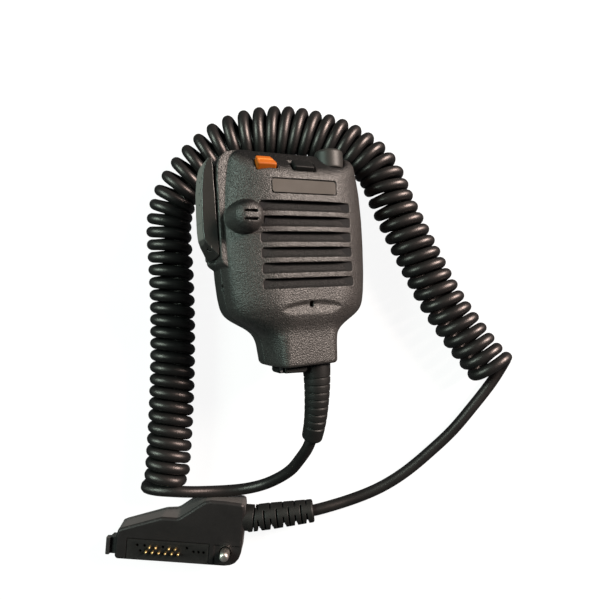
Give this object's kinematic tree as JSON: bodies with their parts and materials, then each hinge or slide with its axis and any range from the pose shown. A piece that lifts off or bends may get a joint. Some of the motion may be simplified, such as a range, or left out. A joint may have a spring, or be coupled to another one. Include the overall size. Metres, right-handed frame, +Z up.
{
  "type": "hand microphone",
  "caption": "Hand-held speaker microphone with slotted grille, side talk key, top buttons and volume knob, belt clip, curly cord and flat multi-pin radio plug.",
  "frame": {"origin": "on the supporting surface, under the middle of the microphone's own box (cord, plug and its gland on the cord left out)", "axes": "+Z up from the surface; +Y along the microphone's long axis towards the volume knob; +X away from the talk key. The microphone is rolled 25.4 degrees about +Y, on to its belt clip and one rear edge."},
  "size_m": [0.2034, 0.2197, 0.0586],
  "materials": {
    "case_plastic": "fine moulded stipple",
    "seal_rubber": "smooth",
    "nameplate": "smooth, blank",
    "cloth": "fine weave",
    "steel": "plain",
    "cone": "pressed",
    "magnet": "zinc",
    "board": "solder resist",
    "dark_steel": "blackened",
    "key_plastic": "smooth satin",
    "black_plastic": "moulded",
    "orange_plastic": "smooth satin",
    "key_rubber": "smooth satin",
    "knob_plastic": "smooth satin",
    "cord_rubber": "satin",
    "plug_rubber": "satin",
    "plug_plastic": "fine satin",
    "gold": "gold plated",
    "nickel": "nickel plated"
  },
  "bodies": {
    "case": {"front_case": "case_plastic", "rear_case": "case_plastic", "case_seal": "seal_rubber", "nameplate": "nameplate", "grille_cloth": "cloth", "speaker_basket": "steel", "speaker_cone": "cone", "speaker_magnet": "magnet", "mic_capsule": "steel", "mic_boot": "seal_rubber", "circuit_board": "board", "case_screws": "dark_steel", "ptt_pin": "steel", "ptt_seal": "seal_rubber", "ptt_switch": "black_plastic", "button_switches": "black_plastic", "volume_pot": "steel", "jack_socket": "black_plastic", "jack_cap_pin": "steel", "clip_boss": "black_plastic", "clip_screw": "dark_steel", "mic_strain_relief": "cord_rubber", "cord_lead_mic": "cord_rubber", "cord_coil_left": "cord_rubber", "cord_coil_top": "cord_rubber", "cord_coil_right": "cord_rubber", "cord_lead_plug": "cord_rubber", "plug_strain_relief": "plug_rubber", "plug_body": "plug_plastic", "plug_cover": "plug_plastic", "cover_screws": "dark_steel", "plug_contact_block": "black_plastic", "plug_hook": "plug_plastic"},
    "talk_key": {"ptt_paddle": "key_plastic"},
    "orange_key": {"orange_button": "orange_plastic"},
    "black_key": {"black_button": "key_rubber"},
    "knob": {"volume_knob": "knob_plastic", "knob_shaft": "steel"},
    "clip": {"clip_base": "black_plastic", "clip_pin": "steel", "clip_spring": "steel"},
    "clip_jaw": {"clip_lever": "black_plastic"},
    "jack_flap": {"jack_cap": "seal_rubber"},
    "contacts": {"plug_pins": "gold"},
    "plug_thumbscrew": {"plug_screw": "nickel"}
  },
  "joints": [
    {"name": "talk_key_press", "type": "hinge", "parent": "case", "child": "talk_key", "pos_m": [-0.02956, 0.0229, 0.04471], "axis": [-0.4289, 0, -0.9033], "range_deg": [0, 1.3], "stiffness_Nm_per_rad": 2, "springref_deg": -1.15},
    {"name": "orange_press", "type": "slide", "parent": "case", "child": "orange_key", "axis": [-0.3033, -0.7071, -0.6388], "range_m": [0, 0.0008], "stiffness_N_per_m": 800, "springref_m": -0.0005},
    {"name": "black_press", "type": "slide", "parent": "case", "child": "black_key", "axis": [-0.3033, -0.7071, -0.6388], "range_m": [0, 0.0008], "stiffness_N_per_m": 800, "springref_m": -0.0005},
    {"name": "knob_turn", "type": "hinge", "parent": "case", "child": "knob", "pos_m": [0.02224, 0.0619, 0.02697], "axis": [0, 1, 0], "range_deg": [-135, 135]},
    {"name": "clip_swivel", "type": "hinge", "parent": "case", "child": "clip", "pos_m": [-0.00427, 0.0319, 0.01078], "axis": [0.4289, 0, 0.9033], "range_deg": [-90, 90]},
    {"name": "clip_open", "type": "hinge", "parent": "clip", "child": "clip_jaw", "pos_m": [-0.00556, 0.0439, 0.00807], "axis": [0.9033, 0, -0.4289], "range_deg": [0, 20], "stiffness_Nm_per_rad": 0.5, "springref_deg": -28.65},
    {"name": "jack_cap_swing", "type": "hinge", "parent": "case", "child": "jack_flap", "pos_m": [-0.00536, -0.03, 0.03787], "axis": [-0.4289, 0, -0.9033], "range_deg": [0, 110]},
    {"name": "contacts_press", "type": "slide", "parent": "case", "child": "contacts", "axis": [0, 0, -1], "range_m": [0, 0.0008], "stiffness_N_per_m": 1000, "springref_m": -0.0005},
    {"name": "plug_screw_turn", "type": "hinge", "parent": "case", "child": "plug_thumbscrew", "pos_m": [-0.03683, -0.1202, 0.006], "axis": [0, 0, 1], "continuous": true}
  ]
}
